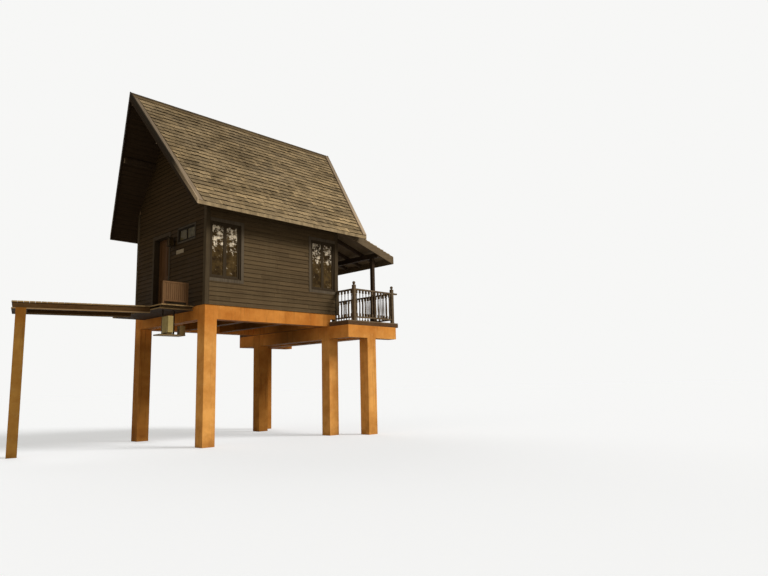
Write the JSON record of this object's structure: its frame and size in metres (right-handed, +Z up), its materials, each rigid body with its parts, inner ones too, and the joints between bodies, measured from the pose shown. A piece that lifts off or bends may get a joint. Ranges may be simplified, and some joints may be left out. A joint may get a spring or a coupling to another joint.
{
  "type": "timber bungalow on concrete stilts",
  "caption": "One-room lap-board bungalow with a steep prow-gabled shingle roof on painted concrete stilts, with a covered veranda, an entrance landing and a walkway.",
  "frame": {"origin": "centre of the front left stilt's foot, on the ground", "axes": "+X along the ridge to the river end, +Y from the front wall to the back wall, +Z up"},
  "size_m": [10.7312, 5.67, 9.66],
  "materials": {
    "painted_concrete": "matt orange-ochre paint on smooth concrete",
    "dark_siding": "dark brown stained lap boards, weathered",
    "trim_boards": "weathered brown-grey boards",
    "dark_frames": "dark stained window and door frames",
    "dark_timber": "dark stained timber",
    "grey_timber": "weathered grey-brown boards",
    "railing_wood": "turned brown wood, worn",
    "wood_shingles": "weathered grey-brown wood shingles",
    "deck_boards": "worn deck boards",
    "red_brown_wood": "red-brown varnished wood",
    "window_glass": "clear window glass",
    "steel": "satin steel",
    "lamp_metal": "dark painted metal",
    "cream_metal": "cream painted sheet metal"
  },
  "bodies": {
    "house": {"house_stilts": "painted_concrete", "veranda_stilts": "painted_concrete", "long_beams": "painted_concrete", "end_beams": "painted_concrete", "slab_ribs": "painted_concrete", "low_cross_beams": "painted_concrete", "veranda_beams": "painted_concrete", "floor_slab": "painted_concrete", "walkway_post": "painted_concrete", "front_wall": "dark_siding", "back_wall": "dark_siding", "entrance_wall_near": "dark_siding", "entrance_wall_far": "dark_siding", "entrance_gable": "dark_siding", "river_wall_sides": "dark_siding", "river_gable": "dark_siding", "corner_boards": "trim_boards", "window_casings": "trim_boards", "window_frames": "dark_frames", "casements": "dark_frames", "door_frame": "dark_frames", "river_door_frame": "dark_frames", "purlins": "dark_timber", "lean_to_rafters": "dark_timber", "lean_to_posts": "dark_timber", "veranda_joists": "dark_timber", "landing_frame": "dark_timber", "walkway_bearers": "dark_timber", "eave_boards": "dark_timber", "bargeboards": "grey_timber", "lean_to_roof": "grey_timber", "railing_posts": "railing_wood", "wing_railings": "railing_wood", "river_railing": "railing_wood", "front_roof": "wood_shingles", "back_roof": "wood_shingles", "ridge_cap": "wood_shingles", "timber_floor": "deck_boards", "veranda_deck": "deck_boards", "landing_deck": "deck_boards", "walkway_deck": "deck_boards", "river_door": "red_brown_wood", "landing_screen": "red_brown_wood", "window_glass": "window_glass", "door_lamp": "lamp_metal", "service_shelf": "cream_metal"},
    "door": {"entrance_door": "red_brown_wood", "door_handle": "steel"}
  },
  "joints": [
    {"name": "entrance_door_hinge", "type": "hinge", "parent": "house", "child": "door", "pos_m": [0.015, 2.665, 3.66], "axis": [0, 0, 1], "range_deg": [0, 90]}
  ]
}
